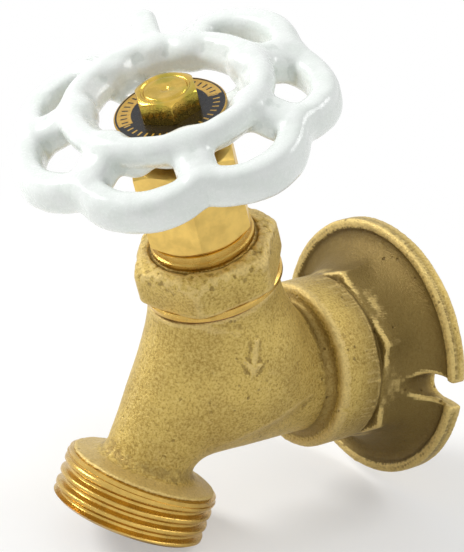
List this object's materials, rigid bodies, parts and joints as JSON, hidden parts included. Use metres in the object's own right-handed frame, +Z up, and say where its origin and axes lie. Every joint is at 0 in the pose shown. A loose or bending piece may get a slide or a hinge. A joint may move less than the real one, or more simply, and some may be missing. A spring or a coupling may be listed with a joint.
{
  "type": "hose bib",
  "caption": "Wall hose bib: flanged inlet body, angled bonnet and rising stem with a lobed handwheel, threaded hose outlet angled down.",
  "frame": {"origin": "centre of the wall flange's back face, on the inlet axis", "axes": "+Y along the inlet axis into the wall, +Z up, +X to the right when facing the wall"},
  "size_m": [0.0531, 0.0752, 0.0875],
  "materials": {
    "cast_brass": "sand-cast, fine granular skin",
    "turned_brass": "machined, satin to bright",
    "stem_brass": "machined, satin",
    "white_paint": "thick gloss enamel over cast metal",
    "dial": "printed thin metal disc, black and gold",
    "plated_screw": "yellow plated, bright",
    "washer_rubber": "matt",
    "gasket_fibre": "red fibre sheet",
    "graphite_packing": "graphite cord, dull"
  },
  "bodies": {
    "valve": {"body": "cast_brass", "bonnet_gasket": "gasket_fibre", "bonnet": "cast_brass", "packing_washer": "turned_brass", "packing_ring_1": "graphite_packing", "packing_ring_2": "graphite_packing", "packing_ring_3": "graphite_packing", "packing_gland": "turned_brass", "packing_nut": "turned_brass"},
    "seat_disc": {"seat_washer": "washer_rubber"},
    "spindle": {"stem": "stem_brass", "seat_washer_screw": "turned_brass", "handwheel": "white_paint", "dial_disc": "dial", "handle_screw": "plated_screw"}
  },
  "joints": [
    {"name": "stem_rise", "type": "slide", "parent": "valve", "child": "seat_disc", "axis": [0, -0.342, 0.9397], "range_m": [0, 0.005]},
    {"name": "stem_turn", "type": "hinge", "parent": "seat_disc", "child": "spindle", "pos_m": [0, -0.04943, 0.04886], "axis": [0, -0.342, 0.9397], "range_deg": [0, 720]}
  ],
  "couplings": [
    {"joint": "stem_rise", "follows": "stem_turn", "m_per_rad": 0.00039789}
  ]
}
